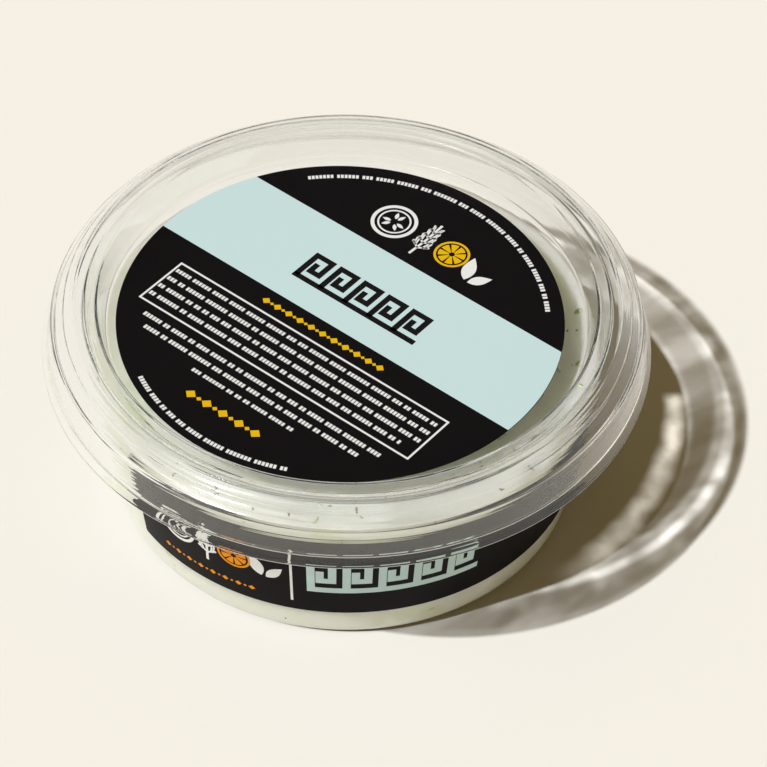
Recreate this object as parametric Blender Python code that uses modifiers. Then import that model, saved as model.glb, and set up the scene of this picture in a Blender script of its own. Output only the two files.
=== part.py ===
"""A shut round deli tub of tzatziki dip: clear tub, clear press-on lid, the dip inside, and two labels.

Units are metres, +Z is up, and the origin is the centre of the foot, on the surface the tub stands on.
The front of the tub faces -Y.
"""

import math

import bmesh
import bpy

# Fineness and clearances
SIDES = 80  # flat facets round each turned piece
TOUCH_GAP = 0.0003  # left between pieces that touch
NEST_GAP = 0.0004  # left between the lid's underside and the tub's rim
MERGE = 0.00001  # points nearer than this become one

# Lid, measured on its outer face
LID_WALL = 0.0005
SKIRT_FOOT_R = 0.0585  # widest point of the whole tub
SKIRT_FOOT_Z = 0.0352
SHOULDER_R = 0.0566
SHOULDER_Z = 0.0425
RIDGE_Z = 0.0464  # top of the whole tub
RIDGE_OUTER_R = 0.0523
RIDGE_INNER_R = 0.0477
PANEL_R = 0.0461  # foot of the wall round the sunk panel
PANEL_Z = 0.0409
LID_CORNER_R = 0.0008

# Tub, measured on its outer face
TUB_WALL = 0.0005
TUB_LIP_Z = 0.0365  # lower edge of the rim's turned-down lip
TUB_RIM_INNER_R = 0.0504
WALL_TOP_R = 0.0499
WALL_TOP_Z = 0.0405
WALL_FOOT_R = 0.0451
FOOT_R = 0.0421  # outer edge of the flat ring that it stands on
FOOT_RING_R = 0.0385  # inner edge of that ring
FOOT_CORNER_R = 0.003
FOOT_RISE = 0.0008  # how far the middle of the base is pushed up
FOOT_RISE_RUN = 0.0012

# Dip
DIP_LEVEL = 0.0344
DIP_CLIMB = 0.0006  # how far the dip climbs the wall
DIP_RINGS = 9
SWIRL_DEPTH = 0.0007
SWIRL_ARMS = 3
SWIRL_TURNS = 2.2

# Labels
LABEL_THICK = 0.00015
LID_LABEL_R = 0.0429
LID_LABEL_SHIFT_X = -0.0013  # the lid label was stuck on a little off centre
SIDE_LABEL_LOW_Z = 0.0079
SIDE_LABEL_HIGH_Z = 0.0310
SIDE_LABEL_START = -146.0  # degrees round from +X
SIDE_LABEL_END = 4.0


def clear_scene():
    """Remove what the file opens with."""
    for obj in list(bpy.data.objects):
        bpy.data.objects.remove(obj, do_unlink=True)


def new_collection(name):
    collection = bpy.data.collections.new(name)
    bpy.context.scene.collection.children.link(collection)
    return collection


def new_material(name, colour, roughness, alpha=1.0):
    """One Principled material; alpha under 1 marks a clear plastic."""
    material = bpy.data.materials.new(name)
    material.use_nodes = True
    shader = material.node_tree.nodes["Principled BSDF"]
    shader.inputs["Base Color"].default_value = (*colour, 1.0)
    shader.inputs["Roughness"].default_value = roughness
    shader.inputs["Metallic"].default_value = 0.0
    shader.inputs["Alpha"].default_value = alpha
    material.diffuse_color = (*colour, alpha)
    return material


def rounded(points, radius, steps=3):
    """The same line with each inner corner turned into a small arc."""
    line = [points[0]]
    for before, corner, after in zip(points, points[1:], points[2:]):
        into = (before[0] - corner[0], before[1] - corner[1])
        away = (after[0] - corner[0], after[1] - corner[1])
        into_length = math.hypot(*into)
        away_length = math.hypot(*away)
        cosine = (into[0] * away[0] + into[1] * away[1]) / (into_length * away_length)
        half_angle = math.acos(max(-1.0, min(1.0, cosine))) / 2
        reach = min(radius / math.tan(half_angle), 0.45 * into_length, 0.45 * away_length)
        start = (corner[0] + into[0] * reach / into_length, corner[1] + into[1] * reach / into_length)
        end = (corner[0] + away[0] * reach / away_length, corner[1] + away[1] * reach / away_length)
        for step in range(steps + 1):
            t = step / steps
            weights = ((1 - t) ** 2, 2 * t * (1 - t), t ** 2)
            line.append(tuple(
                weights[0] * start[i] + weights[1] * corner[i] + weights[2] * end[i] for i in range(2)
            ))
    line.append(points[-1])
    return line


def inset(points, distance):
    """The line moved sideways by a distance, to the right of its travel, with mitred corners."""
    normals = []
    for first, second in zip(points, points[1:]):
        run = (second[0] - first[0], second[1] - first[1])
        length = math.hypot(*run)
        normals.append((run[1] / length, -run[0] / length))
    moved = []
    for index, point in enumerate(points):
        before = normals[max(index - 1, 0)]
        after = normals[min(index, len(normals) - 1)]
        total = (before[0] + after[0], before[1] + after[1])
        scale = 2 * distance / (total[0] ** 2 + total[1] ** 2)
        moved.append((point[0] + total[0] * scale, point[1] + total[1] * scale))
    return moved


def wall_radius(z):
    """Outer radius of the tub's straight tapering wall at a height."""
    share = (z - FOOT_CORNER_R) / (WALL_TOP_Z - FOOT_CORNER_R)
    return WALL_FOOT_R + share * (WALL_TOP_R - WALL_FOOT_R)


def lid_outline():
    """Lid's outer face from its axis out over the ridge and down the skirt."""
    return [
        (0.0, PANEL_Z),
        (PANEL_R, PANEL_Z),
        (RIDGE_INNER_R, RIDGE_Z),
        (RIDGE_OUTER_R, RIDGE_Z),
        (SHOULDER_R, SHOULDER_Z),
        (SKIRT_FOOT_R, SKIRT_FOOT_Z),
    ]


def foot_corner(steps=4):
    """Points of the arc from the tub's wall down to its foot ring."""
    points = []
    for step in range(steps + 1):
        angle = math.radians(90) * step / steps
        points.append((
            FOOT_R + (WALL_FOOT_R - FOOT_R) * math.cos(angle),
            FOOT_CORNER_R - FOOT_CORNER_R * math.sin(angle),
        ))
    return points


def tub_outline():
    """Tub's outer face from the rim's lip, over the rim, down the wall and in to the axis."""
    rim = inset(lid_outline()[2:], LID_WALL + NEST_GAP + TUB_WALL)
    land_z = rim[1][1]
    rim_shoulder = rim[2]
    lip_slope = (rim[3][0] - rim[2][0]) / (rim[3][1] - rim[2][1])
    lip = (rim_shoulder[0] + lip_slope * (TUB_LIP_Z - rim_shoulder[1]), TUB_LIP_Z)
    rim_line = rounded(
        [
            lip,
            rim_shoulder,
            rim[1],
            (TUB_RIM_INNER_R, land_z),
            (WALL_TOP_R, WALL_TOP_Z),
            (wall_radius(DIP_LEVEL), DIP_LEVEL),
        ],
        LID_CORNER_R,
        steps=2,
    )
    base = [
        (FOOT_RING_R, 0.0),
        (FOOT_RING_R - FOOT_RISE_RUN, FOOT_RISE),
        (0.0, FOOT_RISE),
    ]
    return rim_line + foot_corner() + base


def dip_outline():
    """Dip's outer face from the middle of its surface, out and down inside the tub, to the axis."""
    back_off = TUB_WALL + TOUCH_GAP
    edge_r = wall_radius(DIP_LEVEL) - back_off
    surface = [(edge_r * ring / DIP_RINGS, DIP_LEVEL) for ring in range(DIP_RINGS)]
    inside = inset(foot_corner() + [(FOOT_RING_R, 0.0)], back_off)
    floor_z = FOOT_RISE + back_off
    corner = [point for point in inside if point[1] < WALL_TOP_Z]
    base = [(FOOT_RING_R - FOOT_RISE_RUN, floor_z), (0.0, floor_z)]
    return surface + [(edge_r, DIP_LEVEL + DIP_CLIMB)] + corner + base


def turned(name, outline, wall=None):
    """An object turned round the Z axis from an outline, with an optional sheet thickness."""
    mesh = bpy.data.meshes.new(name)
    points = [(radius, 0.0, height) for radius, height in outline]
    mesh.from_pydata(points, [(i, i + 1) for i in range(len(points) - 1)], [])
    obj = bpy.data.objects.new(name, mesh)
    screw = obj.modifiers.new("Turn", "SCREW")
    screw.axis = "Z"
    screw.steps = SIDES
    screw.render_steps = SIDES
    screw.use_merge_vertices = True
    screw.merge_threshold = MERGE
    screw.use_smooth_shade = True
    if wall:
        sheet = obj.modifiers.new("Wall", "SOLIDIFY")
        sheet.thickness = wall
        sheet.offset = -1.0
        sheet.use_even_offset = True
    return obj


def place(obj, collection, material):
    collection.objects.link(obj)
    obj.data.materials.append(material)
    return obj


def swirl_height(x, y, edge_r):
    """How far the dip's surface is pushed down by the spiral left when it was filled."""
    radius = math.hypot(x, y)
    spread = radius / edge_r
    angle = math.atan2(y, x)
    wave = math.cos(SWIRL_ARMS * angle + SWIRL_TURNS * math.tau * spread)
    fade = math.sin(math.pi * min(spread, 1.0)) ** 2
    return -SWIRL_DEPTH * fade * (0.5 + 0.5 * wave)


def make_dip(collection, material):
    """The dip: a turned solid whose top keeps the soft swirl of the filling."""
    turned_dip = turned("dip_turned", dip_outline())
    collection.objects.link(turned_dip)
    evaluated = turned_dip.evaluated_get(bpy.context.evaluated_depsgraph_get())
    mesh = bpy.data.meshes.new_from_object(evaluated)
    bpy.data.objects.remove(turned_dip, do_unlink=True)
    mesh.name = "dip"
    mesh.materials.clear()
    edge_r = wall_radius(DIP_LEVEL) - TUB_WALL - TOUCH_GAP
    for vertex in mesh.vertices:
        if abs(vertex.co.z - DIP_LEVEL) < MERGE:
            vertex.co.z += swirl_height(vertex.co.x, vertex.co.y, edge_r)
    return place(bpy.data.objects.new("dip", mesh), collection, material)


def make_lid_label(collection, material):
    """A thin disc lying on the lid's sunk panel."""
    bpy.ops.mesh.primitive_cylinder_add(
        vertices=SIDES,
        radius=LID_LABEL_R,
        depth=LABEL_THICK,
        location=(LID_LABEL_SHIFT_X, 0.0, PANEL_Z + TOUCH_GAP + LABEL_THICK / 2),
    )
    label = bpy.context.active_object
    label.name = "lid_label"
    label.data.name = "lid_label"
    for owner in list(label.users_collection):
        owner.objects.unlink(label)
    label.data.set_sharp_from_angle(angle=math.radians(30))
    return place(label, collection, material)


def make_side_label(collection, material):
    """A thin band stuck on the tapering wall, from its left end round the front to the right."""
    start = math.radians(SIDE_LABEL_START)
    end = math.radians(SIDE_LABEL_END)
    facets = round(SIDES * (end - start) / math.tau)
    builder = bmesh.new()
    columns = []
    for step in range(facets + 1):
        angle = start + (end - start) * step / facets
        column = []
        for z in (SIDE_LABEL_HIGH_Z, SIDE_LABEL_LOW_Z):
            radius = wall_radius(z) + TOUCH_GAP
            column.append(builder.verts.new((radius * math.cos(angle), radius * math.sin(angle), z)))
        columns.append(column)
    for left, right in zip(columns, columns[1:]):
        builder.faces.new((left[0], left[1], right[1], right[0]))
    mesh = bpy.data.meshes.new("side_label")
    builder.to_mesh(mesh)
    builder.free()
    mesh.shade_smooth()
    label = bpy.data.objects.new("side_label", mesh)
    sheet = label.modifiers.new("Film", "SOLIDIFY")
    sheet.thickness = LABEL_THICK
    sheet.offset = 1.0
    sheet.use_even_offset = True
    return place(label, collection, material)


def build():
    clear_scene()
    parts = new_collection("tzatziki_dip")
    clear_tub = new_material("clear_tub", (0.93, 0.95, 0.93), 0.06, alpha=0.3)
    clear_lid = new_material("clear_lid", (0.95, 0.96, 0.95), 0.05, alpha=0.25)
    cream_dip = new_material("cream_dip", (0.80, 0.82, 0.70), 0.45)
    lid_print = new_material("lid_print", (0.012, 0.010, 0.010), 0.3)
    side_print = new_material("side_print", (0.012, 0.010, 0.011), 0.3)

    place(turned("tub", tub_outline(), wall=TUB_WALL), parts, clear_tub)
    lid_line = rounded(lid_outline(), LID_CORNER_R, steps=2)
    place(turned("lid", lid_line, wall=LID_WALL), parts, clear_lid)
    make_dip(parts, cream_dip)
    make_lid_label(parts, lid_print)
    make_side_label(parts, side_print)


build()
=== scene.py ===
"""How a shut round deli tub of tzatziki dip looks: clear tub and lid, pale dip with herbs, printed labels.

Shapes are worked out in millimetres and made in metres. The tub stands on z = 0 and its front faces -Y.
"""

import math
import random

import bmesh
import bpy
from mathutils import Matrix, Vector, noise
from mathutils.geometry import tessellate_polygon


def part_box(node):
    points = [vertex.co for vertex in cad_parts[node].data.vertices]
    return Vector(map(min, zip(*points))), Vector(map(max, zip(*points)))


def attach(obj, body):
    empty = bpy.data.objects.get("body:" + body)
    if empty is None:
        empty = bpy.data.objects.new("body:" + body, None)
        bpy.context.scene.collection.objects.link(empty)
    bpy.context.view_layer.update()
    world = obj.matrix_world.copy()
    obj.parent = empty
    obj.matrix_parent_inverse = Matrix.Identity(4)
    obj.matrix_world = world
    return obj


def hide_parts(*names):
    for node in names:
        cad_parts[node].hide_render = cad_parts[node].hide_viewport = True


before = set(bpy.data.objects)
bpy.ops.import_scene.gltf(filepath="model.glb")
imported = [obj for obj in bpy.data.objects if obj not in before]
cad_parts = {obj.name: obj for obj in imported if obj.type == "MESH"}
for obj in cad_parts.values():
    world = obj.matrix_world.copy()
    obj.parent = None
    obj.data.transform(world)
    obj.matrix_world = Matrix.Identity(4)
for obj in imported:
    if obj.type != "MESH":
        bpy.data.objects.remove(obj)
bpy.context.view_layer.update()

MM = 0.001
SIDES = 288  # facets round each turned piece


def box_mm(node):
    """Lowest and highest corner of a CAD node in millimetres."""
    low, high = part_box(node)
    return low / MM, high / MM


# Sizes that the frame gives
LID_LOW, LID_HIGH = box_mm("lid")
DIP_LOW, DIP_HIGH = box_mm("dip")
ROUND_LABEL_LOW, ROUND_LABEL_HIGH = box_mm("lid_label")
WRAP_LABEL_LOW, WRAP_LABEL_HIGH = box_mm("side_label")
RIDGE_Z = LID_HIGH.z
SKIRT_FOOT_R = LID_HIGH.x
SKIRT_FOOT_Z = LID_LOW.z

# Lid, on its outer face
SHEET = 0.5  # thickness of the clear plastic
SHOULDER_R = 56.6
SHOULDER_Z = 42.5
RIDGE_OUTER_R = 52.3
RIDGE_INNER_R = 47.7
PANEL_R = 46.1
PANEL_Z = 40.9
NEST_GAP = 0.4  # between the lid's underside and the tub's rim
STEP_START = (2.4, 2.3)  # low step in the shoulder, inwards and up from the shoulder's corner
STEP_END = (2.15, 1.9)
FLARE = (0.75, 1.7)  # where the skirt starts to flare, inwards and up from its foot
BEAD = 0.14  # thickening on the inside of the skirt's foot
BEAD_HEIGHT = 2.2

# Tub, on its outer face
LIP_Z = 36.5
RIM_INNER_R = 50.4
WALL_TOP_R = 49.9
WALL_TOP_Z = 40.5
WALL_FOOT_R = 45.1
FOOT_R = 42.1
FOOT_RING_R = 38.5
FOOT_CORNER_R = 3.0
FOOT_RISE = 0.8
FOOT_RISE_RUN = 1.2

# Dip
DIP_CLIMB = 0.6
DIP_LEVEL = DIP_HIGH.z - DIP_CLIMB
WALL_REACH = 0.2  # how far the dip reaches into the plastic, so that no air shows
SWIRL_DEPTH = 0.7
SWIRL_ARMS = 3
SWIRL_TURNS = 2.2

# Labels
FILM = 0.12  # thickness of the label film
FILM_LIFT = 0.01
INK = 0.02
ROUND_LABEL_X = (ROUND_LABEL_LOW.x + ROUND_LABEL_HIGH.x) / 2
ROUND_LABEL_R = (ROUND_LABEL_HIGH.x - ROUND_LABEL_LOW.x) / 2
ROUND_LABEL_TURN = -39.0  # degrees from +X to the direction its rows run in
WRAP_START = -146.0  # degrees round from +X
WRAP_END = 4.0
STONE = 0.55  # side of a stone in the mosaic rows
STONE_PITCH = 0.75
GROUP_GAP = 0.55

# Camera and light
LENS = 164.33
SENSOR = 36.0
CAMERA_DISTANCE = 0.69875
CAMERA_ELEVATION = 47.10
CAMERA_ROLL = -0.8325
CAMERA_PAN = 0.6075
CAMERA_TILT = -1.3126
KEY_FROM = 213.5  # degrees round from +X
KEY_ELEVATION = 54.9
KEY_STRENGTH = 3.75
KEY_SPREAD = 1.3
# Light that fills the shade, from low to high
FILL_LOW = (0.57, 0.43, 0.17, 1.0)
FILL_HIGH = (0.13, 0.096, 0.046, 1.0)
# What gloss and clear plastic show of the studio, from low to high, and round the key
BACKDROP = (0.80, 0.785, 0.74, 1.0)
CEILING = (0.52, 0.515, 0.50, 1.0)
KEY_GLOW = (2.6, 2.55, 2.5, 1.0)
KEY_CORE = (16.0, 16.0, 15.6, 1.0)
# White cards that show in the bends: one over the camera, one low on the right
FRONT_CARD = (1.7, 1.7, 1.68, 1.0)
FRONT_CARD_RISE = 52.0
RIGHT_CARD = (1.2, 1.2, 1.2, 1.0)
# Where each starts and is full, as the cosine of the angle from its middle
GLOW_EDGE = (0.88, 0.995)
CORE_EDGE = (0.989, 0.996)
FRONT_CARD_EDGE = (0.968, 0.984)
# And as a share of the way up, or to the right
FILL_EDGE = (0.05, 0.55)
CEILING_EDGE = (0.22, 0.66)
RIGHT_CARD_TOP = (0.08, 0.16)
RIGHT_CARD_SIDE = (0.50, 0.72)
# Curved band of painted light that the floor gives off inside the shadow, in mm on the floor, and in degrees
# round its middle
BAND_X = 5.0
BAND_Y = 20.0
BAND_R = 61.9
BAND_WANDER = 4.0
BAND_FRONT_REACH = 3.6
BAND_BACK_REACH = 3.0
BAND_FRONT_LEVEL = 0.40
BAND_BACK_LEVEL = 0.72
BAND_START = (-56.0, -40.0)
BAND_TURN = (-26.0, -9.0)  # where its front passes into its back
BAND_END = (-1.5, 1.5)


# Lines in a radius and height plane


def arc_corner(before, corner, after, radius, steps=8):
    """Points of the round arc that takes the place of a corner."""
    into = Vector(before) - Vector(corner)
    away = Vector(after) - Vector(corner)
    half = into.angle(away) / 2
    room = 0.48 * min(into.length, away.length)
    reach = min(radius / math.tan(half), room)
    radius = reach * math.tan(half)
    start = Vector(corner) + into.normalized() * reach
    end = Vector(corner) + away.normalized() * reach
    middle = (into.normalized() + away.normalized()).normalized()
    centre = Vector(corner) + middle * radius / math.sin(half)
    first = math.atan2(start.y - centre.y, start.x - centre.x)
    last = math.atan2(end.y - centre.y, end.x - centre.x)
    turn = (last - first + math.pi) % math.tau - math.pi
    points = []
    for step in range(steps + 1):
        angle = first + turn * step / steps
        points.append((centre.x + radius * math.cos(angle), centre.y + radius * math.sin(angle)))
    return points


def spread(line, longest=1.5, near=0.12):
    """The same line with points added on long runs, the first and last of them close to the run's ends."""
    points = [line[0]]
    for start, end in zip(line, line[1:]):
        run = Vector(end) - Vector(start)
        if run.length > 4 * near:
            count = max(1, math.ceil((run.length - 2 * near) / longest))
            for step in range(count + 1):
                share = (near + (run.length - 2 * near) * step / count) / run.length
                points.append(tuple(Vector(start) + run * share))
        points.append(end)
    return points


def soft_line(points, radii, longest=1.5):
    """A line whose inner corners are rounded, each to its own radius."""
    line = [points[0]]
    for before, corner, after, radius in zip(points, points[1:], points[2:], radii):
        line += arc_corner(before, corner, after, radius)
    line.append(points[-1])
    return spread(line, longest)


def offset(line, distance):
    """The line moved sideways, to the right of its travel."""
    normals = []
    for start, end in zip(line, line[1:]):
        run = (Vector(end) - Vector(start)).normalized()
        normals.append(Vector((run.y, -run.x)))
    moved = []
    for index, point in enumerate(line):
        total = normals[max(index - 1, 0)] + normals[min(index, len(normals) - 1)]
        moved.append(tuple(Vector(point) + total * 2 * distance / total.length_squared))
    return moved


def sheet_section(corners, radii, thickness, beaded=False, steps=5):
    """Closed section of a sheet: its face, a rounded cut edge and its other face, beaded by the edge."""
    face = soft_line(corners, radii)
    other_radii = [0.7 * radius for radius in radii]
    other = soft_line(offset(corners, thickness), other_radii, 0.3 if beaded else 1.5)
    foot = face[-1][1]
    for index, (radius, height) in enumerate(other):
        share = (height - foot) / BEAD_HEIGHT
        if beaded and radius > RIDGE_OUTER_R and share < 1.0:
            other[index] = (radius - BEAD * math.sin(math.pi * max(share, 0.0)), height)
    other[0] = (0.0, other[0][1])
    edge_middle = (Vector(face[-1]) + Vector(other[-1])) / 2
    out = (Vector(face[-1]) - Vector(face[-2])).normalized()
    across = Vector(face[-1]) - edge_middle
    edge = []
    for step in range(1, steps):
        angle = math.pi * step / steps
        edge.append(tuple(edge_middle + across * math.cos(angle) + out * across.length * math.sin(angle)))
    return face + edge + other[::-1]


def wall_radius(z):
    """Outer radius of the tub's tapering wall."""
    share = (z - FOOT_CORNER_R) / (WALL_TOP_Z - FOOT_CORNER_R)
    return WALL_FOOT_R + share * (WALL_TOP_R - WALL_FOOT_R)


RIDGE_AND_SKIRT = [
    (RIDGE_INNER_R, RIDGE_Z),
    (RIDGE_OUTER_R, RIDGE_Z),
    (SHOULDER_R, SHOULDER_Z),
    (SKIRT_FOOT_R, SKIRT_FOOT_Z),
]


def lid_corners():
    """Lid's top face, with the low step in its shoulder and the flared foot of its skirt."""
    return [
        (0.0, PANEL_Z),
        (PANEL_R, PANEL_Z),
        (RIDGE_INNER_R, RIDGE_Z),
        (RIDGE_OUTER_R, RIDGE_Z),
        (SHOULDER_R - STEP_START[0], SHOULDER_Z + STEP_START[1]),
        (SHOULDER_R - STEP_END[0], SHOULDER_Z + STEP_END[1]),
        (SHOULDER_R, SHOULDER_Z),
        (SKIRT_FOOT_R - FLARE[0], SKIRT_FOOT_Z + FLARE[1]),
        (SKIRT_FOOT_R, SKIRT_FOOT_Z),
    ]


LID_ROUNDING = [0.5, 0.5, 0.6, 0.2, 0.2, 0.7, 0.5]


def tub_corners():
    """Tub's outer face from the axis under the base, up the wall and out over the rim to its lip."""
    rim = offset(RIDGE_AND_SKIRT, SHEET + NEST_GAP + SHEET)
    land = rim[1]
    shoulder = rim[2]
    slope = (rim[3][0] - shoulder[0]) / (rim[3][1] - shoulder[1])
    return [
        (0.0, FOOT_RISE),
        (FOOT_RING_R - FOOT_RISE_RUN, FOOT_RISE),
        (FOOT_RING_R, 0.0),
        (FOOT_R + 0.2, 0.0),
        (WALL_FOOT_R - 0.15, FOOT_CORNER_R - 1.6),
        (WALL_TOP_R, WALL_TOP_Z),
        (RIM_INNER_R, land[1]),
        land,
        shoulder,
        (shoulder[0] + slope * (LIP_Z - shoulder[1]), LIP_Z),
    ]


TUB_ROUNDING = [0.8, 0.6, 2.2, 2.4, 0.5, 0.5, 0.6, 0.8]


# Meshes


def linked(name, mesh, material):
    """A mesh put into the scene as an object of one material."""
    obj = bpy.data.objects.new(name, mesh)
    bpy.context.scene.collection.objects.link(obj)
    mesh.materials.append(material)
    return obj


def new_object(name, vertices, faces, material):
    """An object from points in millimetres, smooth, with its faces pointing out."""
    mesh = bpy.data.meshes.new(name)
    mesh.from_pydata([tuple(c * MM for c in point) for point in vertices], [], faces)
    builder = bmesh.new()
    builder.from_mesh(mesh)
    bmesh.ops.recalc_face_normals(builder, faces=builder.faces)
    builder.to_mesh(mesh)
    builder.free()
    mesh.shade_smooth()
    return linked(name, mesh, material)


def turned(name, line, material, move=None, centre_x=0.0):
    """A closed piece turned round the axis from a line that starts and ends on it."""
    ring = line[1:-1]
    vertices = [(centre_x, 0.0, line[0][1]), (centre_x, 0.0, line[-1][1])]
    for side in range(SIDES):
        angle = math.tau * side / SIDES
        for radius, height in ring:
            if move:
                radius, height = move(angle, radius, height)
            x = centre_x + radius * math.cos(angle)
            vertices.append((x, radius * math.sin(angle), height))
    faces = []
    for side in range(SIDES):
        here = 2 + side * len(ring)
        there = 2 + (side + 1) % SIDES * len(ring)
        faces.append((0, here, there))
        faces.append((1, there + len(ring) - 1, here + len(ring) - 1))
        for step in range(len(ring) - 1):
            faces.append((here + step, here + step + 1, there + step + 1, there + step))
    return new_object(name, vertices, faces, material)


def ripple(angle, radius, height):
    """The small unevenness that forming leaves in the rim and wall of thin plastic."""
    if radius < PANEL_R - 0.5 and height > DIP_LEVEL:
        return radius, height
    around = Vector((math.cos(angle), math.sin(angle), 0.0))
    slow = noise.noise(around * 2.1 + Vector((0.0, 0.0, 0.02 * height)))
    quick = noise.noise(around * 6.5 + Vector((5.0, 0.0, 0.11 * height)))
    lift = noise.noise(around * 3.7 + Vector((0.0, 9.0, 0.05 * radius)))
    if height < FOOT_CORNER_R:
        return radius, height
    return radius + 0.05 * slow + 0.03 * quick - 0.03, height + 0.04 * lift - 0.03


# Materials


def new_material(name):
    material = bpy.data.materials.new(name)
    material.use_nodes = True
    tree = material.node_tree
    return material, tree, tree.nodes["Principled BSDF"]


def new_group(name, inputs, outputs):
    """An empty shader node group. Inputs have defaults, and a socket named Colour holds a colour."""
    group = bpy.data.node_groups.new(name, "ShaderNodeTree")

    def new_socket(label, way):
        kind = "NodeSocketColor" if label == "Colour" else "NodeSocketFloat"
        return group.interface.new_socket(label, in_out=way, socket_type=kind)

    for label, value in inputs.items():
        new_socket(label, "INPUT").default_value = value
    for label in outputs:
        new_socket(label, "OUTPUT")
    entry = group.nodes.new("NodeGroupInput")
    exit_ = group.nodes.new("NodeGroupOutput")
    return group, entry.outputs, exit_.inputs


def use_group(tree, group, values):
    """A group placed in a material with its own values; its outputs."""
    node = tree.nodes.new("ShaderNodeGroup")
    node.node_tree = group
    feed_all(tree, node, values)
    return node.outputs


def feed(tree, socket, value):
    """Give an input a number, a colour or another node's output."""
    if isinstance(value, (int, float, tuple)):
        socket.default_value = value
    else:
        tree.links.new(value, socket)


def feed_all(tree, node, values):
    for label, value in values.items():
        feed(tree, node.inputs[label], value)


def math_node(tree, operation, first, second=None):
    node = tree.nodes.new("ShaderNodeMath")
    node.operation = operation
    feed(tree, node.inputs[0], first)
    if second is not None:
        feed(tree, node.inputs[1], second)
    return node.outputs["Value"]


def times(tree, first, second):
    return math_node(tree, "MULTIPLY", first, second)


def vector_math(tree, operation, first, second, result="Value"):
    node = tree.nodes.new("ShaderNodeVectorMath")
    node.operation = operation
    feed(tree, node.inputs[0], first)
    feed(tree, node.inputs[1], second)
    return node.outputs[result]


def noise_node(tree, vector, scale, detail=2.0, roughness=0.5):
    node = tree.nodes.new("ShaderNodeTexNoise")
    feed_all(tree, node, {"Vector": vector, "Scale": scale, "Detail": detail, "Roughness": roughness})
    return node.outputs["Fac"]


def map_range(tree, value, low, high, to_low=0.0, to_high=1.0):
    """A value eased from one range to another."""
    node = tree.nodes.new("ShaderNodeMapRange")
    node.interpolation_type = "SMOOTHSTEP"
    feed_all(tree, node, {"Value": value, "From Min": low, "From Max": high})
    feed_all(tree, node, {"To Min": to_low, "To Max": to_high})
    return node.outputs["Result"]


def mix_colour(tree, share, first, second):
    """Two colours mixed by a socket; each is four numbers or a socket."""
    node = tree.nodes.new("ShaderNodeMix")
    node.data_type = "RGBA"
    feed(tree, node.inputs["Factor"], share)
    feed(tree, node.inputs[6], first)
    feed(tree, node.inputs[7], second)
    return node.outputs[2]


def place_node(tree):
    return tree.nodes.new("ShaderNodeTexCoord").outputs["Object"]


def parts_of(tree, vector):
    """The X, Y and Z outputs of a vector."""
    node = tree.nodes.new("ShaderNodeSeparateXYZ")
    tree.links.new(vector, node.inputs["Vector"])
    return node.outputs


def vector_of(tree, **parts):
    """A vector put together from named parts."""
    node = tree.nodes.new("ShaderNodeCombineXYZ")
    feed_all(tree, node, parts)
    return node.outputs["Vector"]


def radius_node(tree):
    """Distance from the tub's axis, and the place it is worked out from."""
    place = parts_of(tree, place_node(tree))
    squares = [times(tree, place[axis], place[axis]) for axis in "XY"]
    return math_node(tree, "SQRT", math_node(tree, "ADD", *squares)), place


def relief_node(tree, shader, height, strength, distance):
    """Fine relief on a material; its distance is in metres."""
    bump = tree.nodes.new("ShaderNodeBump")
    feed_all(tree, bump, {"Height": height, "Strength": strength, "Distance": distance})
    feed(tree, shader.inputs["Normal"], bump.outputs["Normal"])


# Forming marks are deep at the front and faint at the back: from and to in Y, and how deep
MARKS_FRONT_Y = -30.0
MARKS_BACK_Y = 12.0
MARKS_BACK_DEPTH = 0.10
RING_WANDER = 14.0  # how fast the rings change along themselves
RIPPLE_SHARE = 0.8


def forming_marks():
    """Height of the rings and ripples that forming leaves on plastic turned round Z, and the rings alone."""
    defaults = {"Ring Scale": 900.0, "Ripple Scale": 180.0, "Ring Share": 0.4}
    group, given, result = new_group("forming_marks", defaults, ["Height", "Rings"])
    radius, parts = radius_node(group)
    along = math_node(group, "SUBTRACT", radius, parts["Z"])
    ringed = vector_of(
        group,
        X=times(group, parts["X"], RING_WANDER),
        Y=times(group, parts["Y"], RING_WANDER),
        Z=times(group, along, given["Ring Scale"]),
    )
    rings = noise_node(group, ringed, 1.0, 1.0)
    group.links.new(rings, result["Rings"])
    ripples = noise_node(group, place_node(group), given["Ripple Scale"], 1.0)
    depth = map_range(group, parts["Y"], MARKS_FRONT_Y * MM, MARKS_BACK_Y * MM, 1.0, MARKS_BACK_DEPTH)
    ring_height = times(group, rings, given["Ring Share"])
    both = math_node(group, "ADD", ring_height, times(group, ripples, RIPPLE_SHARE))
    group.links.new(times(group, both, depth), result["Height"])
    return group


def handling_marks():
    """Mask of faint smudges and dust that handling leaves on a smooth surface."""
    group, given, result = new_group("handling_marks", {"Smudge Scale": 60.0, "Cover": 0.5}, ["Mask"])
    smudge = noise_node(group, place_node(group), given["Smudge Scale"], 5.0, 0.65)
    start = math_node(group, "SUBTRACT", 0.85, times(group, given["Cover"], 0.5))
    end = math_node(group, "ADD", start, 0.2)
    group.links.new(map_range(group, smudge, start, end), result["Mask"])
    return group


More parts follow.
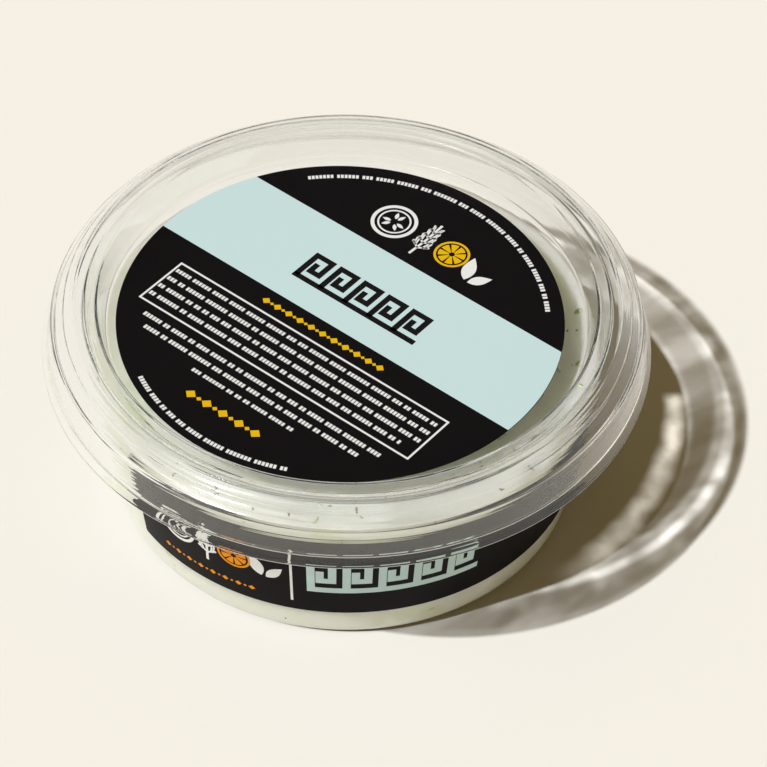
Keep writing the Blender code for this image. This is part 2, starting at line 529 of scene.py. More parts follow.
def ink_grain():
    """Colour of printed ink, a little uneven, with its roughness."""
    defaults = {"Colour": (1.0, 1.0, 1.0, 1.0), "Unevenness": 0.06, "Gloss": 0.4}
    group, given, result = new_group("ink_grain", defaults, ["Colour", "Roughness"])
    place = place_node(group)
    fine = noise_node(group, place, 2600.0, 2.0)
    broad = noise_node(group, place, 45.0, 2.0)
    both = times(group, math_node(group, "ADD", fine, broad), 0.5)
    darker = group.nodes.new("ShaderNodeMix")
    darker.data_type = "RGBA"
    darker.blend_type = "MULTIPLY"
    group.links.new(times(group, both, given["Unevenness"]), darker.inputs["Factor"])
    group.links.new(given["Colour"], darker.inputs[6])
    darker.inputs[7].default_value = (0.3, 0.3, 0.32, 1.0)
    group.links.new(darker.outputs[2], result["Colour"])
    rough = math_node(group, "ADD", given["Gloss"], times(group, fine, 0.15))
    group.links.new(rough, result["Roughness"])
    return group


# Share of the key light that passes at each radius in mm: the bends gather light or throw it aside
LID_PASSING = (
    (45.8, 0.92), (46.5, 0.18), (47.6, 0.20), (48.3, 1.00),
    (51.6, 1.08), (52.8, 0.34), (56.4, 0.26), (58.5, 0.36),
)
TUB_PASSING = ((48.3, 0.90), (48.8, 0.40), (50.2, 0.40), (50.7, 0.95), (56.0, 0.90))
# More gets through at the back of the rim, less so at its edge: in mm, shares, and degrees round from +X
BACK_EDGE_R = (56.0, 57.4)
BACK_PASSING = (0.64, 0.36)
BACK_START = (-14.0, 12.0)
# Streaks that the forming marks leave in light thrown far and in light that falls close by
STREAK_SCALE = 150.0
STREAKS = (0.66, 1.24)
CLOSE_LINES = (0.66, 1.12)
# The bends only throw light aside on its way to things further off than this, in mm
NEAR_REACH = 14.0
FAR_REACH = 38.0
BEHIND_PLASTIC = (0.96, 0.962, 0.955, 1.0)  # tint of what soft light shows through it
PLASTIC_IOR = 1.44
MARK_DEPTH = 0.00007
# Strength of the marks on the sunk panel, where they are faint, and from the ridge outwards
MARK_STRENGTH = (0.25, 1.0)


def stepped_node(tree, value, stops):
    """A value read from a list of stops, in mm along and shares up to 2."""
    first, last = stops[0][0], stops[-1][0]
    along = tree.nodes.new("ShaderNodeMapRange")
    feed_all(tree, along, {"Value": value, "From Min": first * MM, "From Max": last * MM})
    ramp = tree.nodes.new("ShaderNodeValToRGB")
    ramp.color_ramp.interpolation = "EASE"
    tree.links.new(along.outputs["Result"], ramp.inputs["Fac"])
    elements = ramp.color_ramp.elements
    for index, (at, share) in enumerate(stops):
        position = (at - first) / (last - first)
        element = elements[index] if index < 2 else elements.new(position)
        element.position = position
        element.color = (share / 2, share / 2, share / 2, 1.0)
    return times(tree, ramp.outputs["Color"], 2.0)


def thrown_light(tree, radius, place, stops):
    """Share of the key light that reaches things further off: by the bends, and more at the rim's back."""
    streaked = vector_of(tree, **{axis: times(tree, place[axis], STREAK_SCALE) for axis in "XY"})
    streaks = map_range(tree, noise_node(tree, streaked, 1.0, 3.0), 0.3, 0.7, *STREAKS)
    turn = math_node(tree, "ARCTAN2", place["Y"], place["X"])
    edge = map_range(tree, radius, BACK_EDGE_R[0] * MM, BACK_EDGE_R[1] * MM, *BACK_PASSING)
    back = map_range(tree, turn, math.radians(BACK_START[0]), math.radians(BACK_START[1]), 0.0, edge)
    by_bends = math_node(tree, "MAXIMUM", stepped_node(tree, radius, stops), back)
    return times(tree, by_bends, streaks)


def clear_plastic(name, tint, marking, stops, close_share, groups):
    """Clear formed plastic. Light for what lies behind passes straight on, more or less by the bends."""
    material, tree, shader = new_material(name)
    marks = use_group(tree, groups["forming"], marking)
    smudges = use_group(tree, groups["handling"], {"Smudge Scale": 70.0, "Cover": 0.45})
    feed_all(tree, shader, {
        "Base Color": tint,
        "IOR": PLASTIC_IOR,
        "Transmission Weight": 1.0,
        "Roughness": map_range(tree, smudges["Mask"], 0.0, 1.0, 0.01, 0.06),
    })
    radius, place = radius_node(tree)
    strength = map_range(tree, radius, PANEL_R * MM, RIDGE_OUTER_R * MM, *MARK_STRENGTH)
    relief_node(tree, shader, marks["Height"], strength, MARK_DEPTH)

    path = tree.nodes.new("ShaderNodeLightPath").outputs
    far = map_range(tree, path["Ray Length"], NEAR_REACH * MM, FAR_REACH * MM)
    lines = map_range(tree, marks["Rings"], 0.3, 0.7, *CLOSE_LINES)
    close_by = times(tree, lines, close_share)
    share = map_range(tree, far, 0.0, 1.0, close_by, thrown_light(tree, radius, place, stops))
    # Light crosses two faces of the sheet, so each takes the root of the share
    passing = mix_colour(tree, path["Is Shadow Ray"], BEHIND_PLASTIC, math_node(tree, "SQRT", share))
    straight = tree.nodes.new("ShaderNodeBsdfTransparent")
    feed(tree, straight.inputs["Color"], passing)
    choose = tree.nodes.new("ShaderNodeMixShader")
    lighting = math_node(tree, "MAXIMUM", path["Is Shadow Ray"], path["Is Diffuse Ray"])
    feed(tree, choose.inputs["Fac"], lighting)
    feed(tree, choose.inputs[1], shader.outputs["BSDF"])
    feed(tree, choose.inputs[2], straight.outputs["BSDF"])
    feed(tree, tree.nodes["Material Output"].inputs["Surface"], choose.outputs["Shader"])
    return material


CREAM = (0.755, 0.79, 0.70, 1.0)
GREEN_CREAM = (0.68, 0.73, 0.57, 1.0)
BOUNCE_SHADE_CREAM = (0.15, 0.15, 0.12, 1.0)  # painted shade: the dip's dark colour for first diffuse bounces, so it throws less light on the floor


def strained_yogurt():
    """Pale thick dip with faint green from the cucumber, moist and finely grained."""
    material, tree, shader = new_material("tzatziki")
    place = place_node(tree)
    patches = map_range(tree, noise_node(tree, place, 130.0, 3.0), 0.52, 0.72)
    base = mix_colour(tree, patches, CREAM, GREEN_CREAM)
    path = tree.nodes.new("ShaderNodeLightPath").outputs
    # Painted shade: first diffuse bounces see the dip dark, so the floor next to the tub gets less light
    # from it
    first = math_node(tree, "LESS_THAN", path["Diffuse Depth"], 1.5)
    from_floor = times(tree, path["Is Diffuse Ray"], first)
    grain = noise_node(tree, place, 900.0, 4.0)
    feed_all(tree, shader, {
        "Base Color": mix_colour(tree, from_floor, base, BOUNCE_SHADE_CREAM),
        "Subsurface Weight": 1.0,
        "Subsurface Radius": (1.0, 1.0, 0.8),
        "Subsurface Scale": 0.011,
        "Roughness": map_range(tree, grain, 0.3, 0.7, 0.28, 0.5),
    })
    relief_node(tree, shader, grain, 0.6, 0.00025)
    return material


def herb(name, dark, light):
    """Wet chopped green, lighter and darker from place to place."""
    material, tree, shader = new_material(name)
    tone = noise_node(tree, place_node(tree), 700.0, 2.0)
    feed_all(tree, shader, {
        "Base Color": mix_colour(tree, tone, dark, light),
        "Roughness": map_range(tree, tone, 0.3, 0.7, 0.3, 0.55),
    })
    return material


def printed(name, colour, gloss, unevenness, groups):
    """Ink or dyed film with a fine grain."""
    material, tree, shader = new_material(name)
    grain = use_group(tree, groups["ink"], {"Colour": colour, "Unevenness": unevenness, "Gloss": gloss})
    smudges = use_group(tree, groups["handling"], {"Smudge Scale": 90.0, "Cover": 0.5})
    feed_all(tree, shader, {
        "Base Color": grain["Colour"],
        "Roughness": grain["Roughness"],
        "Specular IOR Level": 0.05,
    })
    relief_node(tree, shader, smudges["Mask"], 0.15, 0.00004)
    return material


PAPER = (0.804, 0.791, 0.752, 1.0)
PAPER_LIGHTER = (0.808, 0.795, 0.756, 1.0)
PAINTED_CAUSTIC_COLOUR = (0.93, 0.875, 0.76, 1.0)


def paper_floor():
    material, tree, shader = new_material("cream_paper")
    place = place_node(tree)
    feed_all(tree, shader, {
        "Base Color": mix_colour(tree, noise_node(tree, place, 6.0, 3.0), PAPER, PAPER_LIGHTER),
        "Roughness": 0.9,
        "Specular IOR Level": 0.0,
        # The floor's emission paints the band of light in the tub's shadow
        "Emission Color": PAINTED_CAUSTIC_COLOUR,
        "Emission Strength": painted_caustic_band(tree, place),
    })
    return material


def painted_caustic_band(tree, place):
    """Painted light: a glowing curved band on the floor in the tub's shadow, in place of light that the
    rim's bends would throw there; brightest at its back.
    """
    from_middle = vector_math(tree, "SUBTRACT", place, (BAND_X * MM, BAND_Y * MM, 0.0), "Vector")
    parts = parts_of(tree, from_middle)
    reach = vector_math(tree, "LENGTH", from_middle, (0.0, 0.0, 0.0))
    turn = math_node(tree, "ARCTAN2", parts["Y"], parts["X"])

    def between(edges, low=0.0, high=1.0):
        return map_range(tree, turn, math.radians(edges[0]), math.radians(edges[1]), low, high)

    uneven = math_node(tree, "SUBTRACT", noise_node(tree, place, 90.0, 2.0), 0.5)
    wander = times(tree, uneven, BAND_WANDER * MM)
    off_ring = math_node(tree, "ADD", math_node(tree, "SUBTRACT", reach, BAND_R * MM), wander)
    back = between(BAND_TURN)
    width = map_range(tree, back, 0.0, 1.0, BAND_FRONT_REACH * MM, BAND_BACK_REACH * MM)
    band = map_range(tree, math_node(tree, "ABSOLUTE", off_ring), 0.0, width, 1.0, 0.0)
    along = times(tree, between(BAND_START), between(BAND_END, 1.0, 0.0))
    level = map_range(tree, back, 0.0, 1.0, BAND_FRONT_LEVEL, BAND_BACK_LEVEL)
    patches = map_range(tree, noise_node(tree, place, 160.0, 3.0), 0.3, 0.7, 0.7, 1.25)
    return times(tree, times(tree, band, along), times(tree, level, patches))


# Flat shapes for the print. A shape is a list of outlines in millimetres: the outer one, then its holes.


def heading(degrees):
    """Unit vector at an angle from +X."""
    return Vector((math.cos(math.radians(degrees)), math.sin(math.radians(degrees))))


def arc(x, y, radius, start, end, steps):
    """Points along an arc, between two angles in degrees."""
    points = []
    for step in range(steps + 1):
        angle = math.radians(start + (end - start) * step / steps)
        points.append((x + radius * math.cos(angle), y + radius * math.sin(angle)))
    return points


def box(x0, x1, y0, y1):
    return [[(x0, y0), (x1, y0), (x1, y1), (x0, y1)]]


def rounded_box(x0, x1, y0, y1, radius, steps=2):
    left, right, low, high = x0 + radius, x1 - radius, y0 + radius, y1 - radius
    outline = []
    for x, y, start in ((right, high, 0), (left, high, 90), (left, low, 180), (right, low, 270)):
        outline += arc(x, y, radius, start, start + 90, steps)
    return [outline]


def disc(x, y, radius, sides=36):
    return [arc(x, y, radius, 0, 360, sides)[:-1]]


def ring(x, y, outer, inner, sides=48):
    return disc(x, y, outer, sides) + disc(x, y, inner, sides)


def box_frame(x0, x1, y0, y1, width):
    return box(x0, x1, y0, y1) + box(x0 + width, x1 - width, y0 + width, y1 - width)


def stroke(points, width):
    """A line drawn with a flat pen of one width."""
    return [offset(points, -width / 2) + offset(points, width / 2)[::-1]]


def leaf(x, y, length, width, turn, steps=10):
    """A pointed leaf from its stalk end, with its length along an angle in degrees."""
    along = heading(turn)
    across = Vector((-along.y, along.x))
    outline = []
    for side, way_round in ((1, range(steps)), (-1, range(steps, 0, -1))):
        for step in way_round:
            share = step / steps
            reach = side * width / 2 * math.sin(math.pi * share ** 0.85)
            outline.append(tuple(Vector((x, y)) + along * length * share + across * reach))
    return [outline]


def wedge(x, y, inner, outer, start, end, steps=6):
    """One segment of a round slice, with a blunt inner end."""
    return [arc(x, y, outer, start, end, steps) + arc(x, y, inner, end, start, 2)]


def cucumber_slice(x, y, radius):
    """A slice: thick rind, paler ring and three pairs of seeds."""
    shapes = [ring(x, y, radius, 0.84 * radius), ring(x, y, 0.72 * radius, 0.64 * radius)]
    for third in range(3):
        for lean in (-20, 20):
            turn = 90 + 120 * third + lean
            start = Vector((x, y)) + 0.16 * radius * heading(turn)
            shapes.append(leaf(start.x, start.y, 0.4 * radius, 0.17 * radius, turn))
    return shapes


def citrus_slice(x, y, radius, segments=8):
    shapes = [ring(x, y, radius, 0.86 * radius)]
    for segment in range(segments):
        start = 360 * segment / segments + 5
        shapes.append(wedge(x, y, 0.16 * radius, 0.76 * radius, start, start + 360 / segments - 10))
    return shapes


def dill_sprig(x, y, height, width):
    """A feathery sprig: an upright stem with pairs of forked threads."""
    stem = [(x - 0.06 * width, y), (x + 0.02 * width, y + 0.5 * height), (x, y + height)]
    thread = 0.042 * height
    shapes = [stroke(stem, 1.2 * thread)]
    pairs = 4
    for pair in range(pairs):
        base_y = y + height * (0.22 + 0.68 * pair / pairs)
        length = width / 2 * (1.15 - 0.7 * pair / pairs)
        for side in (-1, 1):
            tip = (x + side * length * 0.92, base_y + length * 0.62)
            shapes.append(stroke([(x, base_y), tip], thread))
            for share in (0.4, 0.68):
                fork = (x + side * length * 0.92 * share, base_y + length * 0.62 * share)
                for out, up in ((0.1, 0.15), (0.15, 0.01)):
                    twig_tip = (fork[0] + side * out * width, fork[1] + up * height)
                    shapes.append(stroke([fork, twig_tip], 0.8 * thread))
    return shapes


def key_border(x0, x1, y0, y1, units, width):
    """A row of square hooks on a base bar, as in an old Greek border."""
    pitch = (x1 - x0) / units
    height = y1 - y0 - width
    shapes = [box(x0, x1, y0, y0 + width)]
    for unit in range(units):
        left = x0 + pitch * unit + width / 2
        base = y0 + width / 2
        reach = pitch - 1.75 * width
        hook = [
            (left, base), (left, base + height), (left + reach, base + height),
            (left + reach, base + 0.36 * height), (left + 0.42 * reach, base + 0.36 * height),
            (left + 0.42 * reach, base + 0.72 * height),
        ]
        shapes.append(stroke(hook, width))
    return shapes


def tessera_row(x0, x1, y0, y1, draw, bold=0.6):
    """A row of small square stones in groups, as in a mosaic's border."""
    shapes = []
    middle = (y0 + y1) / 2
    half = bold * (y1 - y0) / 2
    x = x0
    while x < x1 - 0.5:
        for _ in range(draw.randint(2, 7)):
            if x + STONE > x1:
                break
            shapes.append(box(x, x + STONE, middle - half, middle + half))
            x += STONE_PITCH
        x += GROUP_GAP
    return shapes


def lozenge_row(x0, x1, y0, y1, count):
    """A row of diamonds, every other one small."""
    shapes = []
    middle = (y0 + y1) / 2
    half = (y1 - y0) / 2
    pitch = (x1 - x0) / count
    for index in range(count):
        x = x0 + pitch * (index + 0.5)
        size = half / 2 if index % 2 else half
        wide = size * 1.1
        shapes.append([[(x - wide, middle), (x, middle - size), (x + wide, middle), (x, middle + size)]])
    return shapes


def bend_round(shapes, radius, middle_turn, outward=True):
    """Shapes laid along a straight line, bent round a circle about the origin."""
    bent = []
    for shape in shapes:
        new_shape = []
        for outline in shape:
            points = []
            for x, y in outline:
                if outward:
                    turn = math.radians(middle_turn) - x / radius
                    reach = radius + y
                else:
                    turn = math.radians(middle_turn) + x / radius
                    reach = radius - y
                points.append((reach * math.cos(turn), reach * math.sin(turn)))
            new_shape.append(points)
        bent.append(new_shape)
    return bent


# Putting flat shapes on the labels


def on_round_label(x, y, height):
    """From the round label's own rows to the tub: height is above the sunk panel."""
    turn = math.radians(ROUND_LABEL_TURN)
    return (
        ROUND_LABEL_X + x * math.cos(turn) - y * math.sin(turn),
        x * math.sin(turn) + y * math.cos(turn),
        PANEL_Z + height,
    )


WRAP_R = wall_radius((WRAP_LABEL_LOW.z + WRAP_LABEL_HIGH.z) / 2)


def wrap_x(turn):
    """Length along the wrap label for an angle round the tub in degrees."""
    return math.radians(turn) * WRAP_R


def on_wall(x, y, height):
    """From the wrap label's length and height to the tub's tapering wall."""
    turn = x / WRAP_R
    radius = wall_radius(y) + height
    return radius * math.cos(turn), radius * math.sin(turn), y


def laid(name, shapes, low, high, place, material, strip=None):
    """Flat shapes as a thin layer between two heights; strip is the widest a face may be when it is bent."""
    vertices = []
    faces = []
    for shape in shapes:
        start = len(vertices)
        flat = [point for outline in shape for point in outline]
        vertices += [(x, y, low) for x, y in flat]
        vertices += [(x, y, high) for x, y in flat]
        count = len(flat)
        outlines = [[Vector((x, y, 0.0)) for x, y in outline] for outline in shape]
        for a, b, c in tessellate_polygon(outlines):
            faces.append((start + a, start + b, start + c))
            faces.append((start + count + a, start + count + c, start + count + b))
        first = start
        for outline in shape:
            size = len(outline)
            for index in range(size):
                here = first + index
                there = first + (index + 1) % size
                faces.append((here, there, there + count, here + count))
            first += size
    mesh = bpy.data.meshes.new(name)
    mesh.from_pydata(vertices, [], faces)
    builder = bmesh.new()
    builder.from_mesh(mesh)
    if strip:
        cut_into_strips(builder, strip)
    for vertex in builder.verts:
        vertex.co = Vector(place(*vertex.co)) * MM
    bmesh.ops.recalc_face_normals(builder, faces=builder.faces)
    builder.to_mesh(mesh)
    builder.free()
    obj = linked(name, mesh, material)
    mesh.set_sharp_from_angle(angle=math.radians(30))
    return obj


def cut_into_strips(builder, strip):
    """Cut a layer across its length, so that it can bend round the wall."""
    low = min(vertex.co.x for vertex in builder.verts)
    high = max(vertex.co.x for vertex in builder.verts)
    for step in range(1, math.ceil((high - low) / strip)):
        geometry = builder.verts[:] + builder.edges[:] + builder.faces[:]
        bmesh.ops.bisect_plane(
            builder, geom=geometry, dist=1e-5,
            plane_co=(low + step * strip, 0.0, 0.0), plane_no=(1.0, 0.0, 0.0),
        )


# Pieces


def make_lid(material):
    section = sheet_section(lid_corners(), LID_ROUNDING, SHEET, beaded=True)
    return turned("clear_lid", section, material, ripple)


def make_tub(material):
    section = sheet_section(tub_corners(), TUB_ROUNDING, -SHEET)
    return turned("clear_tub", section, material, ripple)


def dip_surface(angle, radius, height):
    """The dip's top, with the swirl of its filling, small lumps and an uneven edge."""
    if height < DIP_LEVEL - 0.01:
        return radius, height
    x = radius * math.cos(angle)
    y = radius * math.sin(angle)
    edge_r = wall_radius(DIP_LEVEL) - SHEET + WALL_REACH
    share = min(radius / edge_r, 1.0)
    wave = math.cos(SWIRL_ARMS * angle + SWIRL_TURNS * math.tau * share)
    swirl = -SWIRL_DEPTH * math.sin(math.pi * share) ** 2 * (0.5 + 0.5 * wave)
    lumps = 0.35 * noise.noise(Vector((x, y, 0.0)) * 0.16) + 0.12 * noise.noise(Vector((x, y, 7.0)) * 0.6)
    climb = max(0.0, 1.0 - (edge_r - radius) / 2.2) ** 2
    uneven = 0.5 + 0.5 * noise.noise(Vector((x, y, 3.0)) * 0.22)
    return radius, DIP_LEVEL + swirl + lumps * (1.0 - climb) + DIP_CLIMB * climb * uneven


def make_dip(material):
    wall = soft_line(offset(tub_corners(), WALL_REACH - SHEET), TUB_ROUNDING)
    below = [point for point in wall if point[1] < DIP_LEVEL - 0.3 and point[0] > 0.5]
    edge_r = wall_radius(DIP_LEVEL) - SHEET + WALL_REACH
    rings = 60
    top = [(edge_r * step / rings, DIP_LEVEL) for step in range(rings + 1)]
    section = top + below[::-1] + [(0.0, below[0][1])]
    return turned("tzatziki", section, material, dip_surface)


def bean(centre, along, across, length, width, thick, bend, vertices, faces):
    """A small bent pip of a shape, added to one mesh: four rings of five points and two tips."""
    up = along.cross(across)
    start = len(vertices)
    rings = 4
    sides = 5
    tail = centre - along * length / 2
    vertices.append(tail)
    for step in range(1, rings + 1):
        share = step / (rings + 1)
        swell = math.sin(math.pi * share) ** 0.6
        curve = bend * (1.0 - (2 * share - 1) ** 2)
        middle = tail + along * length * share + across * curve
        for side in range(sides):
            angle = math.tau * side / sides
            sideways = across * math.cos(angle) * width / 2 * swell
            vertices.append(middle + sideways + up * math.sin(angle) * thick / 2 * swell)
    vertices.append(centre + along * length / 2)
    last = len(vertices) - 1
    for side in range(sides):
        after = (side + 1) % sides
        faces.append((start, start + 1 + after, start + 1 + side))
        for step in range(rings - 1):
            here = start + 1 + step * sides
            faces.append((here + side, here + after, here + sides + after, here + sides + side))
        end = start + 1 + (rings - 1) * sides
        faces.append((end + side, end + after, last))


def scatter(name, count, sizes, widths, bends, material, seed):
    """Chopped bits half sunk in the dip's top and side."""
    draw = random.Random(seed)
    vertices = []
    faces = []
    for index in range(count):
        turn = draw.uniform(0.0, math.tau)
        outward = Vector((math.cos(turn), math.sin(turn), 0.0))
        sideways = Vector((-outward.y, outward.x, 0.0))
        if index % 2:
            radius = 47.5 * math.sqrt(draw.uniform(0.25, 1.0))
            _, height = dip_surface(turn, radius, DIP_LEVEL)
            centre = outward * radius + Vector((0.0, 0.0, height))
            normal = Vector((0.0, 0.0, 1.0))
        else:
            height = draw.uniform(FOOT_CORNER_R + 0.2, DIP_LEVEL - 1.0)
            radius = wall_radius(height) - SHEET + WALL_REACH - 0.05
            centre = outward * radius + Vector((0.0, 0.0, height))
            normal = outward
        lean = draw.uniform(0.0, math.pi)
        level = normal.cross(sideways) if index % 2 == 0 else outward
        along = (sideways * math.cos(lean) + level * math.sin(lean)).normalized()
        across = normal.cross(along)
        length = draw.uniform(*sizes)
        width = length * draw.uniform(*widths)
        bean(centre, along, across, length, width, 0.22, draw.uniform(*bends) * length, vertices, faces)
    return new_object(name, vertices, faces, material)


BAND_LOW = -2.88  # pale band across the round label
BAND_HIGH = 19.71
# Rows of stones in the label's own frame: from and to along, from and to across
STONE_ROWS = (
    (-32.4, 32.2, -11.3, -9.8), (-32.4, 32.2, -13.9, -12.3), (-32.4, 32.2, -16.5, -14.9),
    (-32.4, 29.9, -19.1, -17.5), (-29.4, 28.9, -24.1, -22.5), (-27.0, 26.6, -26.7, -25.1),
    (-12.4, 12.8, -29.4, -28.0),
)
# Rows bent round the edge: radius, first and last angle round from +X, and whether their tops face outwards
EDGE_ROWS = ((39.75, 2.7, 100.0, True), (40.95, -156.0, -102.3, False))
EDGE_ROW_HALF = 0.78


def make_round_label(film, inks):
    """Black film disc with a pale band across it, and its print."""
    top = FILM_LIFT + FILM
    bevel = 0.03
    section = [
        (0.0, PANEL_Z + top), (ROUND_LABEL_R - 1.0, PANEL_Z + top),
        (ROUND_LABEL_R - bevel, PANEL_Z + top), (ROUND_LABEL_R, PANEL_Z + top - bevel),
        (ROUND_LABEL_R, PANEL_Z + FILM_LIFT), (0.0, PANEL_Z + FILM_LIFT),
    ]
    pieces = [turned("round_label_film", section, film, centre_x=ROUND_LABEL_X)]
    pieces[0].data.set_sharp_from_angle(angle=math.radians(30))
    back_r = ROUND_LABEL_R - 0.1
    back_low, back_high = PANEL_Z + 0.002, PANEL_Z + 0.008
    back = [(0.0, back_high), (back_r, back_high), (back_r, back_low), (0.0, back_low)]
    pieces.append(turned("round_label_back", back, inks["white"], centre_x=ROUND_LABEL_X))

    def add(name, shapes, ink, low=top - INK, high=top + INK):
        pieces.append(laid(name, shapes, low, high, on_round_label, inks[ink]))

    reach = ROUND_LABEL_R - 0.04
    low_turn, high_turn = [math.degrees(math.asin(edge / reach)) for edge in (BAND_LOW, BAND_HIGH)]
    band = arc(0, 0, reach, low_turn, high_turn, 24)
    band += arc(0, 0, reach, 180 - high_turn, 180 - low_turn, 24)
    add("round_label_band", [[band]], "aqua")
    add("round_label_key_border", key_border(-14.8, 15.2, 2.9, 10.8, 5, 1.25), "black", top, top + 2 * INK)

    draw = random.Random(11)
    white = cucumber_slice(-8.9, 27.3, 4.7) + dill_sprig(-0.9, 22.2, 10.2, 3.8)
    white += leaf_pair(12.0, 26.6, 3.7)
    white.append(box_frame(-33.14, 33.27, -20.77, -8.32, 0.42))
    for row in STONE_ROWS:
        white += tessera_row(*row, draw)
    for radius, first, last, outward in EDGE_ROWS:
        half_length = math.radians((last - first) / 2) * radius
        row = tessera_row(-half_length, half_length, -EDGE_ROW_HALF, EDGE_ROW_HALF, draw)
        white += bend_round(row, radius, (first + last) / 2 - ROUND_LABEL_TURN, outward)
    add("round_label_white_print", white, "white")

    yellow = citrus_slice(5.5, 27.3, 3.6)
    yellow += lozenge_row(-14.4, 15.1, -6.6, -4.9, 21)
    yellow += lozenge_row(-9.3, 8.5, -34.9, -32.7, 9)
    add("round_label_yellow_print", yellow, "yellow")
    return pieces


def leaf_pair(x, y, size):
    """Two mint leaves on a short stalk."""
    return [
        leaf(x - 0.1 * size, y - 0.9 * size, 1.75 * size, 0.75 * size, 108),
        leaf(x + 0.15 * size, y - 0.95 * size, 1.35 * size, 0.62 * size, 48),
    ]


def make_wrap_label(film, inks):
    """Black film band on the wall, and its print."""
    top = FILM_LIFT + FILM
    strip = 1.6
    band = rounded_box(wrap_x(WRAP_START), wrap_x(WRAP_END), WRAP_LABEL_LOW.z, WRAP_LABEL_HIGH.z, 0.4)
    pieces = [laid("wrap_label_film", [band], FILM_LIFT, top, on_wall, film, strip)]

    def add(name, shapes, ink):
        pieces.append(laid(name, shapes, top - INK, top + INK, on_wall, inks[ink], strip))

    centre = wrap_x(-121.5)
    white = cucumber_slice(centre - 8.4, 20.6, 4.4) + dill_sprig(centre - 1.2, 15.0, 11.6, 3.8)
    white += leaf_pair(centre + 10.6, 20.0, 3.6)
    divider = wrap_x(-102.0)
    white.append(box(divider - 0.25, divider + 0.25, 10.7, 28.0))
    add("wrap_label_white_print", white, "white")

    orange = citrus_slice(centre + 4.7, 20.2, 3.5)
    orange += lozenge_row(wrap_x(-137.0), wrap_x(-111.0), 10.9, 12.2, 15)
    add("wrap_label_orange_print", orange, "orange")

    title = key_border(wrap_x(-98.4), wrap_x(-57.5), 14.5, 24.4, 5, 1.55)
    add("wrap_label_key_border", title, "aqua")
    return pieces


# Studio


def place_camera():
    """The photograph's view: it looks at the foot's centre, then pans, tilts and rolls a little."""
    elevation = math.radians(CAMERA_ELEVATION)
    back = Vector((0.0, -math.cos(elevation), math.sin(elevation)))
    right = Vector((1.0, 0.0, 0.0))
    rows = Matrix((right, back.cross(right), back))
    rows = Matrix.Rotation(math.radians(CAMERA_PAN), 3, "Y") @ rows
    rows = Matrix.Rotation(math.radians(CAMERA_TILT), 3, "X") @ rows
    rows = Matrix.Rotation(math.radians(CAMERA_ROLL), 3, "Z") @ rows
    data = bpy.data.cameras.new("photo_view")
    data.lens = LENS
    data.sensor_width = SENSOR
    data.clip_end = 10.0
    camera = bpy.data.objects.new("photo_view", data)
    camera.matrix_world = Matrix.Translation(back * CAMERA_DISTANCE) @ rows.transposed().to_4x4()
    bpy.context.scene.collection.objects.link(camera)
    bpy.context.scene.camera = camera


def direction(turn, rise):
    """Unit vector towards a point of the studio, from two angles in degrees."""
    level = math.cos(math.radians(rise))
    turn = math.radians(turn)
    return Vector((math.cos(turn) * level, math.sin(turn) * level, math.sin(math.radians(rise))))


def place_lights():
    """One key light from the left of the front, and an even soft fill."""
    towards = direction(KEY_FROM, KEY_ELEVATION)
    data = bpy.data.lights.new("key", "SUN")
    data.energy = KEY_STRENGTH
    data.angle = math.radians(KEY_SPREAD)
    key = bpy.data.objects.new("key", data)
    key.rotation_mode = "QUATERNION"
    key.rotation_quaternion = towards.to_track_quat("Z", "Y")
    bpy.context.scene.collection.objects.link(key)

    world = bpy.data.worlds.new("studio")
    world.use_nodes = True
    world.cycles.sampling_method = "NONE"
    tree = world.node_tree
    way = tree.nodes.new("ShaderNodeTexCoord").outputs["Generated"]
    parts = parts_of(tree, way)
    fill = mix_colour(tree, map_range(tree, parts["Z"], *FILL_EDGE), FILL_LOW, FILL_HIGH)
    shown = mix_colour(tree, map_range(tree, parts["Z"], *CEILING_EDGE), BACKDROP, CEILING)
    front = direction(-90.0, FRONT_CARD_RISE)
    for middle, edges, colour in (
        (towards, GLOW_EDGE, KEY_GLOW), (towards, CORE_EDGE, KEY_CORE), (front, FRONT_CARD_EDGE, FRONT_CARD),
    ):
        nearness = vector_math(tree, "DOT_PRODUCT", way, tuple(middle))
        shown = mix_colour(tree, map_range(tree, nearness, *edges), shown, colour)
    low = map_range(tree, parts["Z"], *RIGHT_CARD_TOP, 1.0, 0.0)
    right = map_range(tree, parts["X"], *RIGHT_CARD_SIDE)
    shown = mix_colour(tree, times(tree, low, right), shown, RIGHT_CARD)
    tone = mix_colour(tree, tree.nodes.new("ShaderNodeLightPath").outputs["Is Diffuse Ray"], shown, fill)
    tree.links.new(tone, tree.nodes["Background"].inputs["Color"])
    bpy.context.scene.world = world


def lay_floor():
    bpy.ops.mesh.primitive_plane_add(size=6.0)
    floor = bpy.context.active_object
    floor.name = "floor"
    floor.data.materials.append(paper_floor())


def tune_render():
    """Enough light paths for several sheets of clear plastic behind each other, and plain tones."""
    scene = bpy.context.scene
    scene.view_settings.view_transform = "Standard"
    scene.cycles.max_bounces = 24
    scene.cycles.transmission_bounces = 24
    scene.cycles.glossy_bounces = 10
    scene.cycles.diffuse_bounces = 3
    scene.cycles.transparent_max_bounces = 32
    scene.cycles.sample_clamp_indirect = 4.0


def settle(piece, slot, *nodes):
    """The piece rides with the tub and stands for these CAD nodes, which it hides. The slot is not used."""
    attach(piece, "root")
    if nodes:
        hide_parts(*nodes)


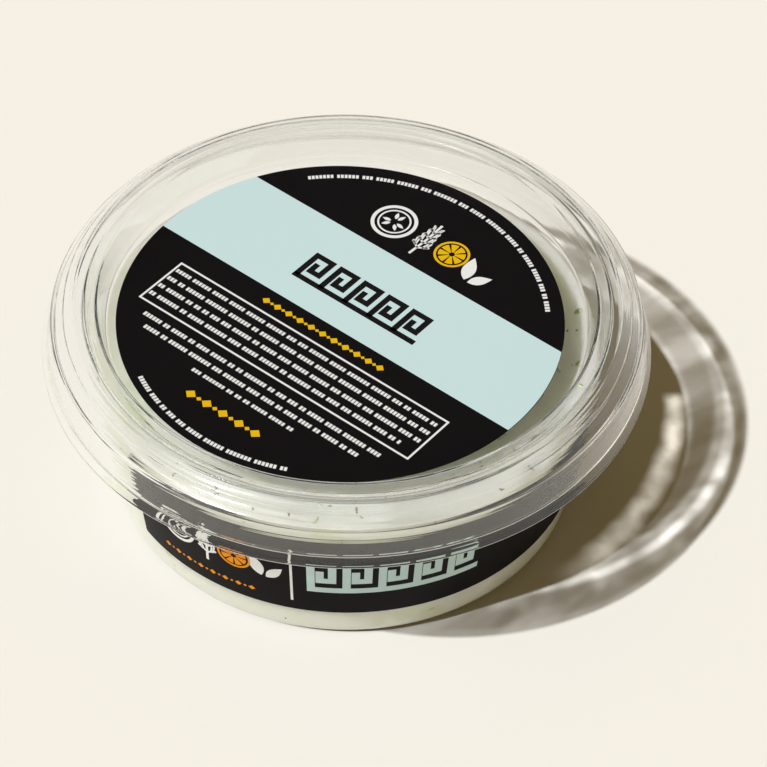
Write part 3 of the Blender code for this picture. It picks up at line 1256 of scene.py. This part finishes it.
def build():
    groups = {"forming": forming_marks(), "handling": handling_marks(), "ink": ink_grain()}
    lid_marking = {"Ring Scale": 820.0, "Ripple Scale": 160.0, "Ring Share": 2.3}
    tub_marking = {"Ring Scale": 560.0, "Ripple Scale": 120.0, "Ring Share": 1.4}
    clear_lid = clear_plastic("clear_lid", (0.99, 0.992, 0.99, 1.0), lid_marking, LID_PASSING, 0.98, groups)
    clear_tub = clear_plastic("clear_tub", (0.99, 0.994, 0.99, 1.0), tub_marking, TUB_PASSING, 0.88, groups)
    yogurt = strained_yogurt()
    dill = herb("dill", (0.03, 0.05, 0.02, 1.0), (0.10, 0.15, 0.05, 1.0))
    cucumber = herb("cucumber", (0.42, 0.52, 0.24, 1.0), (0.60, 0.68, 0.42, 1.0))
    inks = {
        "white": printed("white_ink", (0.72, 0.74, 0.75, 1.0), 0.4, 0.06, groups),
        "aqua": printed("aqua_ink", (0.508, 0.670, 0.695, 1.0), 0.4, 0.05, groups),
        "yellow": printed("yellow_ink", (0.70, 0.42, 0.006, 1.0), 0.4, 0.06, groups),
        "orange": printed("orange_ink", (0.72, 0.26, 0.01, 1.0), 0.4, 0.06, groups),
        "black": printed("black_ink", (0.006, 0.005, 0.005, 1.0), 0.45, 0.1, groups),
    }
    film = printed("black_film", (0.003, 0.0022, 0.0025, 1.0), 0.38, 0.1, groups)

    settle(make_lid(clear_lid), "clear_lid", "lid")
    settle(make_tub(clear_tub), "clear_tub", "tub")
    settle(make_dip(yogurt), "cream_dip", "dip")
    settle(scatter("dill_flecks", 150, (0.5, 1.5), (0.25, 0.6), (-0.2, 0.2), dill, 3), "cream_dip")
    settle(scatter("cucumber_bits", 90, (1.2, 3.0), (0.3, 0.6), (-0.1, 0.1), cucumber, 5), "cream_dip")
    for index, piece in enumerate(make_round_label(film, inks)):
        settle(piece, "lid_print", *(["lid_label"] if index == 0 else []))
    for index, piece in enumerate(make_wrap_label(film, inks)):
        settle(piece, "side_print", *(["side_label"] if index == 0 else []))


place_camera()
place_lights()
lay_floor()
tune_render()
build()
